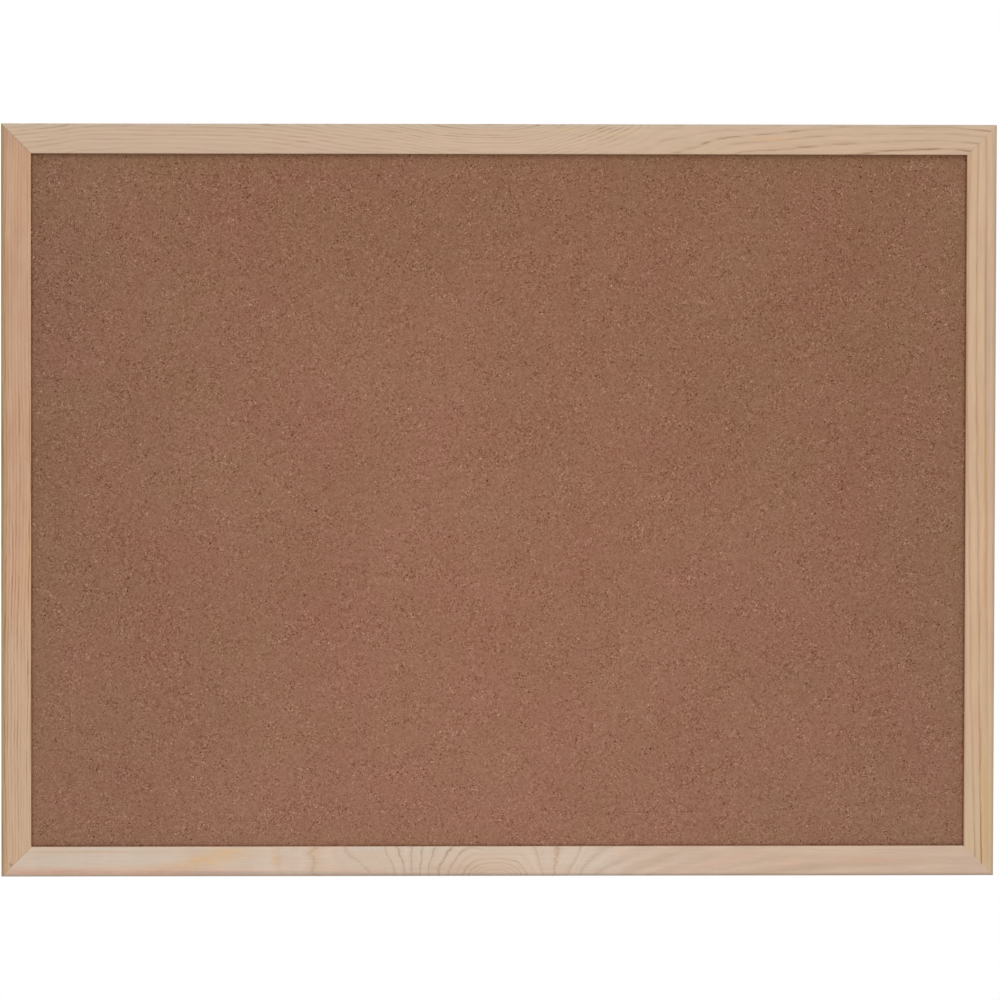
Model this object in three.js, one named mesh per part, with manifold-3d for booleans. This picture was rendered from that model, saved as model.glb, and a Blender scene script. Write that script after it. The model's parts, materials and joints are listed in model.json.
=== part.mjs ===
// A pine-framed cork pin board that hangs on a wall from two swinging rings.
// Four mitred sticks are grooved to hold a panel of cork on softboard with a kraft liner.
// Two V-nails pull each mitre together, and a strap with two screws carries each ring.
//
// Millimetres. +X is to the right and +Z up for someone facing the cork, which looks along -Y.
// The back face of the frame is the plane y = 0. The origin is midway between the two wall nails,
// where they bear in the raised rings.

import * as THREE from 'three';
import { mergeVertices } from 'three/addons/utils/BufferGeometryUtils.js';
import Module from 'manifold-3d';

const wasm = await Module();
wasm.setup();

// Overall size
const boardWidth = 600;
const boardHeight = 454;

// Panel, from the cork to the wall
const corkThickness = 1.5;
const coreThickness = 7;
const linerThickness = 0.4;
const glueLine = 0.05;
const panelEdgePlay = 1;
const panelFacePlay = 0.15;

// Frame stick
const stickFace = 18;
const frontLip = 3.5;
const backLip = 3.2;
const grooveReach = 6;
const outerRound = 2;
const innerEase = 0.5;
const backEase = 0.6;
const mitreGap = 0.12;

// V-nails
const nailHeight = 8;
const nailSteel = 0.5;
const nailWing = 3.4;
const nailCurl = 0.9;
const nailSink = 0.4;
const nailSlotGap = 0.25;
const nailPlaceShares = { outer: 0.28, inner: 0.6 };

// Ring hangers
const hangerFromTop = 100;
const strapWidth = 8;
const strapSteel = 0.8;
const strapSlit = 0.1;
const strapSeatGap = 0.1;
const strapBend = 1.2;
const strapTail = 4.2;
const ringWire = 1.8;
const ringEyeWidth = 11;
const ringEyeHeight = 11.1;
const ringCorner = 1.6;
const ringRunningGap = 0.35;
const ringRestGap = 0.3;

// Hanger screws
const screwBite = 10;
const screwCrest = 1.5;
const screwRoot = 1.05;
const screwPitch = 1.25;
const screwPoint = 2.4;
const headRadius = 2.8;
const headHeight = 1.9;
const headSeatGap = 0.05;
const driveLength = 3.3;
const driveWidth = 0.7;
const driveDepth = 1.2;
const screwHoleGap = 0.25;
const screwToRingGap = 0.7;
const screwSpacing = 9.6;

// How far a cutting tool runs past the face that it opens
const overrun = 2;

// Facets
const roundFacets = 8;
const easeFacets = 3;
const ringSides = 10;
const ringSteps = 48;
const screwFacets = 20;
const bendStep = Math.PI / 12;
const strapFoldTurn = (5 / 6) * Math.PI;

// Sizes that follow from the ones above
const panelThickness = corkThickness + coreThickness + linerThickness + 2 * glueLine;
const grooveWidth = panelThickness + 2 * panelFacePlay;
const stickDepth = backLip + grooveWidth + frontLip;
const panelWidth = boardWidth - 2 * (stickFace - grooveReach + panelEdgePlay);
const panelHeight = boardHeight - 2 * (stickFace - grooveReach + panelEdgePlay);
const solidFace = stickFace - grooveReach;

const wireRadius = ringWire / 2;
const ringHalfWidth = ringEyeWidth / 2 + wireRadius;
const ringReach = ringEyeHeight + wireRadius;
const foldRadius = wireRadius + ringRunningGap + strapSteel / 2;
const strapInnerY = strapSeatGap + strapSteel / 2;
const strapOuterY = strapInnerY + strapSteel + strapSlit;
const strapTopY = strapOuterY + strapSteel / 2;
const ringAxisY = strapInnerY + foldRadius;
const ringAxisZ = -ringEyeHeight;
const ringAxisX = boardWidth / 2 - stickFace / 2;
const ringRestTilt = Math.asin((strapTopY + ringRestGap + wireRadius - ringAxisY) / ringReach);

const upperScrewDrop = ringReach + wireRadius + screwToRingGap + headRadius;
const lowerScrewDrop = upperScrewDrop + screwSpacing;
const strapDrop = lowerScrewDrop + strapTail;

const topEdgeZ = ringAxisZ + hangerFromTop;
const middleZ = topEdgeZ - boardHeight / 2;

const materials = {
  pine: new THREE.MeshStandardMaterial({ color: '#cbaf95', roughness: 0.62, metalness: 0 }),
  cork: new THREE.MeshStandardMaterial({ color: '#916853', roughness: 0.92, metalness: 0 }),
  softboard: new THREE.MeshStandardMaterial({ color: '#a58a68', roughness: 0.95, metalness: 0 }),
  liner: new THREE.MeshStandardMaterial({ color: '#b08d65', roughness: 0.88, metalness: 0 }),
  bareSteel: new THREE.MeshStandardMaterial({ color: '#8d8f92', roughness: 0.45, metalness: 0.9 }),
  platedSteel: new THREE.MeshStandardMaterial({ color: '#b9bbbd', roughness: 0.3, metalness: 0.95 }),
};

// A closed geometry as a solid for cutting and joining
function solidOf(geometry) {
  const bare = geometry.clone();
  bare.deleteAttribute('normal');
  bare.deleteAttribute('uv');
  const merged = mergeVertices(bare);
  return new wasm.Manifold(
    new wasm.Mesh({
      numProp: 3,
      vertProperties: new Float32Array(merged.attributes.position.array),
      triVerts: new Uint32Array(merged.index.array),
    }),
  );
}

// A cut or joined solid back as a geometry
function geometryOf(solid) {
  const mesh = solid.getMesh();
  const geometry = new THREE.BufferGeometry();
  geometry.setAttribute('position', new THREE.BufferAttribute(new Float32Array(mesh.vertProperties), 3));
  geometry.setIndex(new THREE.BufferAttribute(new Uint32Array(mesh.triVerts), 1));
  geometry.computeVertexNormals();
  return geometry;
}

function cutAway(geometry, tools) {
  const cut = tools.reduce((solid, tool) => solid.subtract(solidOf(tool)), solidOf(geometry));
  return geometryOf(cut);
}

function part(name, geometry, material) {
  const mesh = new THREE.Mesh(geometry, material);
  mesh.name = name;
  return mesh;
}

// A flat outline in x and z, extruded from y = top down into the wood
function extrudeIntoWood(outline, depth, top) {
  const geometry = new THREE.ExtrudeGeometry(outline, { depth, steps: 1, bevelEnabled: false });
  geometry.rotateX(Math.PI / 2);
  geometry.translate(0, top, 0);
  return geometry;
}

// A pin along y whose ends are at y = top and y = bottom
function pinAlongY(radius, top, bottom, x, z) {
  const geometry = new THREE.CylinderGeometry(radius, radius, top - bottom, screwFacets);
  geometry.translate(x, (top + bottom) / 2, z);
  return geometry;
}

// The outline of a strip of steel seen edge on: its middle line, offset to both sides
function stripOutline(line, halfThickness, endExtra) {
  const sides = { left: [], right: [] };
  line.forEach((point, i) => {
    const before = line[Math.max(i - 1, 0)];
    const after = line[Math.min(i + 1, line.length - 1)];
    const arriving = point.clone().sub(before);
    const leaving = after.clone().sub(point);
    const inward = arriving.lengthSq() > 0 ? arriving.normalize() : leaving.clone().normalize();
    const onward = leaving.lengthSq() > 0 ? leaving.normalize() : inward.clone();
    const along = inward.clone().add(onward).normalize();
    const across = new THREE.Vector2(-along.y, along.x);
    const mitre = halfThickness / Math.max(along.dot(onward), 0.5);
    const atEnd = i === 0 ? -endExtra : i === line.length - 1 ? endExtra : 0;
    const middle = point.clone().addScaledVector(along, atEnd);
    sides.left.push(middle.clone().addScaledVector(across, mitre));
    sides.right.unshift(middle.clone().addScaledVector(across, -mitre));
  });
  return new THREE.Shape([...sides.left, ...sides.right]);
}

// The section of a stick: x is the depth from the back face, y runs inwards from the outer edge
function stickSection() {
  const front = stickDepth;
  const lipBack = stickDepth - frontLip;
  const outline = [new THREE.Vector2(backEase, 0)];
  const arc = (x, y, radius, from, to, facets) => {
    for (let i = 0; i <= facets; i += 1) {
      const turn = from + ((to - from) * i) / facets;
      outline.push(new THREE.Vector2(x + radius * Math.cos(turn), y + radius * Math.sin(turn)));
    }
  };
  arc(front - outerRound, outerRound, outerRound, -Math.PI / 2, 0, roundFacets);
  arc(front - innerEase, stickFace - innerEase, innerEase, 0, Math.PI / 2, easeFacets);
  outline.push(new THREE.Vector2(lipBack, stickFace));
  outline.push(new THREE.Vector2(lipBack, solidFace));
  outline.push(new THREE.Vector2(backLip, solidFace));
  outline.push(new THREE.Vector2(backLip, stickFace));
  outline.push(new THREE.Vector2(backEase, stickFace));
  outline.push(new THREE.Vector2(0, stickFace - backEase));
  outline.push(new THREE.Vector2(0, backEase));
  return new THREE.Shape(outline);
}

// A stick along x, its outer edge up at z = 0 and its back face at y = 0, both ends cut at 45 degrees
function mitredStick(length) {
  const geometry = new THREE.ExtrudeGeometry(stickSection(), {
    depth: length,
    steps: 1,
    bevelEnabled: false,
  });
  geometry.translate(0, 0, -length / 2);
  const depthAxis = new THREE.Vector3(0, -1, 0);
  const inwardAxis = new THREE.Vector3(0, 0, -1);
  const lengthAxis = new THREE.Vector3(1, 0, 0);
  geometry.applyMatrix4(new THREE.Matrix4().makeBasis(depthAxis, inwardAxis, lengthAxis));
  const place = geometry.attributes.position;
  const setBack = (mitreGap / 2) * Math.SQRT2;
  for (let i = 0; i < place.count; i += 1) {
    const inward = -place.getZ(i);
    place.setX(i, Math.sign(place.getX(i)) * (length / 2 - inward - setBack));
  }
  return geometry;
}

// The V of a nail seen from the back, its ridge on the mitre line and its wings along the two sticks.
// side is -1 or 1 for left or right, and end -1 or 1 for bottom or top.
function nailLine(side, end, fromEdge) {
  const at = (across, down) =>
    new THREE.Vector2(
      side * (boardWidth / 2 - across),
      middleZ + end * (boardHeight / 2 - down),
    );
  const tip = fromEdge + nailWing;
  const curl = nailCurl * Math.SQRT1_2;
  return [
    at(tip + curl, fromEdge - curl),
    at(tip, fromEdge),
    at(fromEdge, fromEdge),
    at(fromEdge, tip),
    at(fromEdge - curl, tip + curl),
  ];
}

function nailGeometry(line) {
  return extrudeIntoWood(stripOutline(line, nailSteel / 2, 0), nailHeight, -nailSink);
}

function nailSlot(line) {
  const outline = stripOutline(line, nailSteel / 2 + nailSlotGap, nailSlotGap);
  const depth = overrun + nailSink + nailHeight + nailSlotGap;
  return extrudeIntoWood(outline, depth, overrun);
}

// The folded strap seen from the side: x is the distance from the wood, y is up, and the ring's bar
// runs through the fold at y = 0
function strapLine() {
  const line = [new THREE.Vector2(strapInnerY, -strapDrop), new THREE.Vector2(strapInnerY, 0)];
  const foldSteps = Math.ceil((Math.PI / 2 + strapFoldTurn) / bendStep);
  for (let i = 1; i <= foldSteps; i += 1) {
    const turn = -Math.PI / 2 + ((Math.PI / 2 + strapFoldTurn) * i) / foldSteps;
    line.push(
      new THREE.Vector2(ringAxisY + foldRadius * Math.sin(turn), foldRadius * Math.cos(turn)),
    );
  }
  const dive = strapFoldTurn - Math.PI / 2;
  const leaving = line[line.length - 1];
  const bendDrop = strapBend * (1 - Math.cos(dive));
  const slope = Math.max(leaving.x - strapOuterY - bendDrop, 0) / Math.sin(dive);
  const bendStart = new THREE.Vector2(
    leaving.x - slope * Math.sin(dive),
    leaving.y - slope * Math.cos(dive),
  );
  const bendCentreY = bendStart.y - strapBend * Math.sin(dive);
  const bendSteps = Math.ceil(dive / bendStep);
  for (let i = 0; i <= bendSteps; i += 1) {
    const turn = dive * (1 - i / bendSteps);
    line.push(
      new THREE.Vector2(
        strapOuterY + strapBend * (1 - Math.cos(turn)),
        bendCentreY + strapBend * Math.sin(turn),
      ),
    );
  }
  line.push(new THREE.Vector2(strapOuterY, -strapDrop));
  return line;
}

// The strap seen from the back: straight sides and a half-round tail
function strapPlan() {
  const half = strapWidth / 2;
  const top = foldRadius + strapSteel;
  const plan = new THREE.Shape();
  plan.moveTo(half, top);
  plan.lineTo(-half, top);
  plan.lineTo(-half, half - strapDrop);
  plan.absarc(0, half - strapDrop, half, Math.PI, 2 * Math.PI, false);
  plan.closePath();
  return plan;
}

function strapGeometry() {
  const folded = new THREE.ExtrudeGeometry(stripOutline(strapLine(), strapSteel / 2, 0), {
    depth: strapWidth,
    steps: 1,
    bevelEnabled: false,
  });
  folded.translate(0, 0, -strapWidth / 2);
  const outAxis = new THREE.Vector3(0, 1, 0);
  const upAxis = new THREE.Vector3(0, 0, 1);
  const acrossAxis = new THREE.Vector3(1, 0, 0);
  folded.applyMatrix4(new THREE.Matrix4().makeBasis(outAxis, upAxis, acrossAxis));
  const highest = ringAxisY + foldRadius + strapSteel + overrun;
  const trim = extrudeIntoWood(strapPlan(), highest + overrun, highest);
  let strap = solidOf(folded).intersect(solidOf(trim));
  for (const drop of [upperScrewDrop, lowerScrewDrop]) {
    const hole = pinAlongY(screwCrest + screwHoleGap, strapTopY + overrun, -overrun, 0, -drop);
    strap = strap.subtract(solidOf(hole));
  }
  return geometryOf(strap);
}

// The middle line of the ring's wire, a D whose straight bar lies in the strap's fold
class RingLine extends THREE.Curve {
  constructor() {
    super();
    const shoulder = ringReach - ringHalfWidth;
    this.outline = new THREE.Path();
    this.outline.moveTo(0, 0);
    this.outline.lineTo(ringHalfWidth - ringCorner, 0);
    this.outline.absarc(ringHalfWidth - ringCorner, -ringCorner, ringCorner, Math.PI / 2, 0, true);
    this.outline.lineTo(ringHalfWidth, -shoulder);
    this.outline.absarc(0, -shoulder, ringHalfWidth, 0, -Math.PI, true);
    this.outline.lineTo(-ringHalfWidth, -ringCorner);
    this.outline.absarc(ringCorner - ringHalfWidth, -ringCorner, ringCorner, Math.PI, Math.PI / 2, true);
    this.outline.lineTo(0, 0);
  }

  getPoint(share, target = new THREE.Vector3()) {
    const point = this.outline.getPointAt(share);
    return target.set(point.x, 0, point.y);
  }
}

function ringGeometry() {
  return new THREE.TubeGeometry(new RingLine(), ringSteps, wireRadius, ringSides, true);
}

// A wood screw pointing along -y, the underside of its head at y = 0
function screwGeometry() {
  const reach = strapTopY + headSeatGap + screwBite;
  const profile = [new THREE.Vector2(0, -reach), new THREE.Vector2(screwRoot, screwPoint - reach)];
  const turns = Math.floor((screwBite - screwPoint) / screwPitch);
  for (let i = 0; i < turns; i += 1) {
    const start = screwPoint - reach + i * screwPitch;
    profile.push(new THREE.Vector2(screwCrest, start + screwPitch / 2));
    profile.push(new THREE.Vector2(screwRoot, start + screwPitch));
  }
  profile.push(new THREE.Vector2(screwRoot, 0));
  profile.push(new THREE.Vector2(headRadius, 0));
  profile.push(new THREE.Vector2(headRadius, headHeight / 3));
  const domeShares = [0.93, 0.72, 0.4];
  domeShares.forEach((share) => {
    const rise = (2 / 3) * headHeight * Math.sqrt(1 - share * share);
    profile.push(new THREE.Vector2(headRadius * share, headHeight / 3 + rise));
  });
  profile.push(new THREE.Vector2(0, headHeight));
  const screw = new THREE.LatheGeometry(profile, screwFacets);
  const slots = [0, Math.PI / 2].map((turn) => {
    const slot = new THREE.BoxGeometry(driveLength, driveDepth + overrun, driveWidth);
    slot.translate(0, headHeight - driveDepth + (driveDepth + overrun) / 2, 0);
    slot.rotateY(turn + Math.PI / 4);
    return slot;
  });
  return cutAway(screw, slots);
}

const ends = { top: 1, bottom: -1 };
const sides = { left: -1, right: 1 };
const board = new THREE.Group();

// Every V-nail and the slot that it is driven into
const frameGroup = new THREE.Group();
const slots = [];
for (const [endName, end] of Object.entries(ends)) {
  for (const [sideName, side] of Object.entries(sides)) {
    for (const [placeName, share] of Object.entries(nailPlaceShares)) {
      const line = nailLine(side, end, solidFace * share);
      const name = `v_nail_${endName}_${sideName}_${placeName}`;
      frameGroup.add(part(name, nailGeometry(line), materials.bareSteel));
      slots.push(nailSlot(line));
    }
  }
}

// Pilot holes under the hanger screws
const pilots = [];
for (const side of Object.values(sides)) {
  for (const drop of [upperScrewDrop, lowerScrewDrop]) {
    const bottom = -(screwBite + screwHoleGap);
    pilots.push(
      pinAlongY(screwCrest + screwHoleGap, overrun, bottom, side * ringAxisX, ringAxisZ - drop),
    );
  }
}

// The four sticks, each turned to its side of the frame and then cut for its nails and screws
const sticks = {
  top_rail: { length: boardWidth, turn: 0, x: 0, z: boardHeight / 2 },
  bottom_rail: { length: boardWidth, turn: Math.PI, x: 0, z: -boardHeight / 2 },
  left_stile: { length: boardHeight, turn: -Math.PI / 2, x: -boardWidth / 2, z: 0 },
  right_stile: { length: boardHeight, turn: Math.PI / 2, x: boardWidth / 2, z: 0 },
};
for (const [name, stick] of Object.entries(sticks)) {
  const geometry = mitredStick(stick.length);
  geometry.rotateY(stick.turn);
  geometry.translate(stick.x, 0, middleZ + stick.z);
  frameGroup.add(part(name, cutAway(geometry, [...slots, ...pilots]), materials.pine));
}
board.add(frameGroup);

// The panel, a stack from the liner at the back to the cork at the front
const panelGroup = new THREE.Group();
panelGroup.position.set(0, -(backLip + panelFacePlay), middleZ);
const layers = [
  { name: 'backing_liner', thickness: linerThickness, material: materials.liner },
  { name: 'core_board', thickness: coreThickness, material: materials.softboard },
  { name: 'cork_sheet', thickness: corkThickness, material: materials.cork },
];
let layerBack = 0;
for (const layer of layers) {
  const sheet = part(
    layer.name,
    new THREE.BoxGeometry(panelWidth, layer.thickness, panelHeight),
    layer.material,
  );
  sheet.position.y = layerBack - layer.thickness / 2;
  panelGroup.add(sheet);
  layerBack -= layer.thickness + glueLine;
}
board.add(panelGroup);

// The two ring hangers, one on the back of each stile
for (const [sideName, side] of Object.entries(sides)) {
  const hanger = new THREE.Group();
  hanger.position.set(side * ringAxisX, 0, ringAxisZ);
  hanger.add(part(`hanger_strap_${sideName}`, strapGeometry(), materials.platedSteel));

  const ring = part(`hanger_ring_${sideName}`, ringGeometry(), materials.platedSteel);
  ring.position.y = ringAxisY;
  ring.rotation.x = ringRestTilt;
  hanger.add(ring);

  const drops = { upper: upperScrewDrop, lower: lowerScrewDrop };
  for (const [place, drop] of Object.entries(drops)) {
    const screw = part(`hanger_screw_${sideName}_${place}`, screwGeometry(), materials.platedSteel);
    screw.position.set(0, strapTopY + headSeatGap, -drop);
    hanger.add(screw);
  }
  board.add(hanger);
}

export default board;
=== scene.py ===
import json
import math

import bpy
import numpy as np
from mathutils import Matrix, Vector


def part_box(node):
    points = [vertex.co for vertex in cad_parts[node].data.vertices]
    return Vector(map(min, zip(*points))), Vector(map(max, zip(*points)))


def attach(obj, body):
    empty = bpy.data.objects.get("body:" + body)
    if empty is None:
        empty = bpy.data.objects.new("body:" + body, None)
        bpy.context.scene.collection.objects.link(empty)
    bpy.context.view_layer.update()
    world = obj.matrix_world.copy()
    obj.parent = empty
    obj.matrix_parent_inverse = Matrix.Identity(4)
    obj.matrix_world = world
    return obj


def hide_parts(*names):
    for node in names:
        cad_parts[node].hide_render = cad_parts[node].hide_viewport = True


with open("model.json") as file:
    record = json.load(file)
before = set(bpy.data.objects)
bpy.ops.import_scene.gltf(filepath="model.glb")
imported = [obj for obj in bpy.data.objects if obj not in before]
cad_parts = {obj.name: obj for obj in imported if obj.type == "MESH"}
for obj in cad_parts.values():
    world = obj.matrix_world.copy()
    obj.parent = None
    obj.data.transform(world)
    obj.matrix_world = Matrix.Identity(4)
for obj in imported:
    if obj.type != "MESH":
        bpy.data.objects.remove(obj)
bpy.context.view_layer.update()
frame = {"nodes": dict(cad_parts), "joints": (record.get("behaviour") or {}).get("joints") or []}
mm = 0.001
creaseAngle = math.radians(30)   # the edge between two faces is sharp where they turn by more
quarter, fullTurn = math.pi / 2, 2 * math.pi


def boxOf(node):
    # lowest and highest corner of a node, in mm
    low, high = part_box(node)
    return np.array(low) / mm, np.array(high) / mm


def gridFaces(rows, columns, closeRows=False, closeColumns=False):
    # The quads of a grid whose point (i, j) is number i * columns + j
    i = np.arange(rows if closeRows else rows - 1)[:, None]
    j = np.arange(columns if closeColumns else columns - 1)[None, :]
    row, nextRow, nextColumn = i * columns, (i + 1) % rows * columns, (j + 1) % columns
    corners = (row + j, row + nextColumn, nextRow + nextColumn, nextRow + j)
    return np.stack(np.broadcast_arrays(*corners), -1).reshape(-1, 4).tolist()


def closedMesh(name, points, faces):
    # A mesh object at the origin, from points in mm. The sum over its triangles of a . (b x c) is six times
    # its volume, so a sum below nought means that the faces look inwards, and they are turned round.
    points = np.asarray(points, float)
    triangles = np.array([(f[0], f[k], f[k + 1]) for f in faces for k in range(1, len(f) - 1)])
    a, b, c = (points[triangles[:, k]] for k in range(3))
    if np.einsum("ij,ij->", a, np.cross(b, c)) < 0:
        faces = [f[::-1] for f in faces]
    return openMesh(name, points, faces)


def openMesh(name, points, faces):
    mesh = bpy.data.meshes.new(name)
    mesh.from_pydata((points * mm).tolist(), [], faces)
    smoothed(mesh)
    piece = bpy.data.objects.new(name, mesh)
    bpy.context.scene.collection.objects.link(piece)
    return piece


def smoothed(mesh):
    mesh.shade_smooth()
    mesh.set_sharp_from_angle(angle=creaseAngle)


def tube(name, grid):
    # A closed mesh from a grid of points: each row goes round, and the first and the last have a lid
    rows, columns = grid.shape[:2]
    lids = [list(range(columns)), list(range(rows * columns - 1, (rows - 1) * columns - 1, -1))]
    return closedMesh(name, grid.reshape(-1, 3), gridFaces(rows, columns, closeColumns=True) + lids)


def cutAway(piece, cutters):
    # The cutters' shapes taken out of the piece, and the result kept as its own mesh
    for cutter in cutters:
        cut = piece.modifiers.new("cut", "BOOLEAN")
        cut.operation = "DIFFERENCE"
        cut.solver = "EXACT"
        cut.object = cutter
    bpy.context.view_layer.update()
    evaluated = piece.evaluated_get(bpy.context.evaluated_depsgraph_get())
    finished = bpy.data.meshes.new_from_object(evaluated)
    piece.modifiers.clear()
    piece.data = finished
    smoothed(finished)
    for cutter in cutters:
        bpy.data.objects.remove(cutter)


def between(start, end, steps):
    # Evenly spaced points from start to just before end
    share = (np.arange(steps) / steps)[:, None]
    return np.asarray(start, float) * (1 - share) + np.asarray(end, float) * share


def arc(centre, radius, fromTurn, toTurn, steps):
    # Points on a circle: centre + radius * (cos turn, sin turn), both ends included
    turn = np.linspace(fromTurn, toTurn, steps + 1)
    return np.asarray(centre, float) + radius * np.stack([np.cos(turn), np.sin(turn)], -1)


def slowWaves(t, wavelengths, seed):
    # The mean of one sine for each wavelength, with phases drawn from the seed
    phases = np.random.default_rng(seed).uniform(0, fullTurn, len(wavelengths))
    return sum(np.sin(fullTurn * t / w + p) for w, p in zip(wavelengths, phases)) / len(wavelengths)


def prism(name, outline, top, bottom):
    # A flat outline in x and z, carried along y from top to bottom
    return tube(name, np.stack([np.insert(outline, 1, y, axis=1) for y in (top, bottom)]))


# Materials


def bothWays(operation):
    # The two methods of an operator: wire with other, and other with wire
    def forward(self, other):
        return self.finish.math(operation, self, other)

    def reflected(self, other):
        return self.finish.math(operation, other, self)

    return forward, reflected


class Wire:
    # A socket in an expression: an operator between wires and numbers adds its Math node

    def __init__(self, finish, socket):
        self.finish = finish
        self.socket = socket

    def output(self, name):
        return Wire(self.finish, self.socket.node.outputs[name])

    def math(self, operation, *others):
        return self.finish.math(operation, self, *others)

    __add__, __radd__ = bothWays("ADD")
    __sub__, __rsub__ = bothWays("SUBTRACT")
    __mul__, __rmul__ = bothWays("MULTIPLY")
    __truediv__, __rtruediv__ = bothWays("DIVIDE")
    __pow__, __rpow__ = bothWays("POWER")

    def __neg__(self):
        return self.math("MULTIPLY", -1)

    def __abs__(self):
        return self.math("ABSOLUTE")


class Finish:
    # The nodes of one material or of the world, which all come from node()

    def __init__(self, owner):
        self.owner = owner
        owner.use_nodes = True
        self.tree = owner.node_tree
        self.tree.nodes.clear()

    def node(self, kind, settings=None, inputs=None, output=0):
        node = self.tree.nodes.new(kind)
        for key, value in (settings or {}).items():
            if key == "curve":
                setCurve(node.mapping, value)
            else:
                setattr(node, key, value)
        for key, value in (inputs or {}).items():
            if isinstance(value, Wire):
                self.tree.links.new(value.socket, node.inputs[key])
            else:
                node.inputs[key].default_value = value
        return Wire(self, node.outputs[output] if len(node.outputs) else None)

    def math(self, operation, *inputs):
        return self.node("ShaderNodeMath", {"operation": operation}, dict(enumerate(inputs)))

    def vectorMath(self, operation, *inputs):
        return self.node("ShaderNodeVectorMath", {"operation": operation}, dict(enumerate(inputs)))

    def place(self, location=(0, 0, 0), rotation=(0, 0, 0), scale=(1, 1, 1)):
        # Object coordinates in mm, scaled, then turned by degrees, then shifted by mm
        return self.node("ShaderNodeMapping", {}, {
            "Vector": self.node("ShaderNodeTexCoord", output="Object"),
            "Location": location,
            "Rotation": [math.radians(r) for r in rotation],
            "Scale": [s / mm for s in scale],
        })

    def axes(self, vector):
        split = self.node("ShaderNodeSeparateXYZ", {}, {"Vector": vector})
        return split, split.output("Y"), split.output("Z")

    def noise(self, vector, scales=1.0, detail=2.0, roughness=0.5):
        # Scales are one number, or one for each axis
        if not np.isscalar(scales):
            vector, scales = self.vectorMath("MULTIPLY", vector, scales), 1.0
        return self.node("ShaderNodeTexNoise", {}, {
            "Vector": vector, "Scale": scales, "Detail": detail, "Roughness": roughness})

    def smooth(self, value, start, end):
        # 0 up to start, 1 from end on, an S between them
        return self.node("ShaderNodeMapRange", {"interpolation_type": "SMOOTHSTEP"}, {
            "Value": value, "From Min": start, "From Max": end})

    def bell(self, first, second, reach, stray=0.0):
        # e to the power of -(first / its reach) squared - (second / its reach) squared - stray
        first, second = first / reach[0], second / reach[1]
        return (-1 * (first * first + second * second + stray)).math("EXPONENT")

    def mixed(self, share, first, second, blend="MIX"):
        return self.node("ShaderNodeMix", {"data_type": "RGBA", "blend_type": blend}, {
            0: share, 6: first, 7: second}, 2)

    def follow(self, value, points):
        # A smooth curve through points (value, result)
        starts, results = zip(*points)
        low, span = min(results), max(max(results) - min(results), 1e-6)
        first, length = starts[0], starts[-1] - starts[0]
        shares = [((x - first) / length, (y - low) / span) for x, y in points]
        curve = self.node("ShaderNodeFloatCurve", {"curve": shares}, {"Value": (value - first) / length})
        return curve * span + low

    def seen(self):
        # 1 for rays of the camera, gloss and glass, 0 for those that light other things
        rays = self.node("ShaderNodeLightPath", output="Is Camera Ray")
        for kind in ("Is Glossy Ray", "Is Transmission Ray"):
            rays = rays.math("MAXIMUM", self.node("ShaderNodeLightPath", output=kind))
        return rays

    def finish(self, colour, roughness, height, heightMm, metallic=0.0, specular=0.5):
        # The shader, its bump given as a height from 0 to 1 and what 1 is in mm
        bump = self.node("ShaderNodeBump", {}, {"Height": height, "Distance": heightMm * mm, "Strength": 1.0})
        shader = self.node("ShaderNodeBsdfPrincipled", {}, {
            "Base Color": colour, "Roughness": roughness, "Metallic": metallic,
            "Specular IOR Level": specular, "Normal": bump})
        self.node("ShaderNodeOutputMaterial", {}, {"Surface": shader})
        return self.owner


def setCurve(mapping, points):
    curve = mapping.curves[0]
    curve.points[0].location, curve.points[1].location = points[0], points[-1]
    for point in points[1:-1]:
        curve.points.new(*point)
    for point in curve.points:
        point.handle_type = "AUTO_CLAMPED"
    mapping.update()


def paint(red, green, blue):
    # A colour as a picture shows it, from 0 to 255, in the scene's linear light
    shares = [c / 255 for c in (red, green, blue)]
    return [c / 12.92 if c <= 0.04045 else ((c + 0.055) / 1.055) ** 2.4 for c in shares] + [1.0]


# The frame: four mitred sticks of one moulding

moulding = {
    "grooveReach": 6.0,     # how far the groove goes into the stick
    "panelPlay": 0.15,      # between the panel and the groove's sides
    "outerRound": 2.0,
    "innerEase": 0.5,
    "backEase": 0.6,
    "backSoftness": 0.12,   # rounding where the back eases meet the faces
    "afterRounds": (0.5, 0.3),   # where the points of the face, and of the lip, begin after a round
    "mitreGap": 0.012,
    "stations": 240,        # steps along a stick
    "wander": 0.05,         # how far the planed edges stray from straight
    "wanderLengths": (31, 74, 190),
    "wanderSkew": 7,        # how much later the inner edge strays, for each mm inwards
}
railLow, boardHigh = boxOf("top_rail")
boardLow = boxOf("bottom_rail")[0]
faceWidth, stickDepth = boardHigh[2] - railLow[2], boardHigh[1] - railLow[1]
halfWidth, halfHeight = (boardHigh[0] - boardLow[0]) / 2, (boardHigh[2] - boardLow[2]) / 2
middleZ = (boardHigh[2] + boardLow[2]) / 2
panelFront = -boxOf("cork_sheet")[0][1]
panelBack = -boxOf("backing_liner")[1][1]

sides, screwPlaces = ("left", "right"), ("upper", "lower")
# Each stick's outer edge, the way from it to the cork, and the way along it as the photograph shows it
sticks = {
    "top_rail": {"outer": (0, 1), "inward": (0, -1), "along": (1, 0), "half": halfWidth, "seed": 11},
    "bottom_rail": {"outer": (0, -1), "inward": (0, 1), "along": (1, 0), "half": halfWidth, "seed": 12},
    "left_stile": {"outer": (-1, 0), "inward": (1, 0), "along": (0, -1), "half": halfHeight, "seed": 13},
    "right_stile": {"outer": (1, 0), "inward": (-1, 0), "along": (0, -1), "half": halfHeight, "seed": 14},
}


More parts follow.
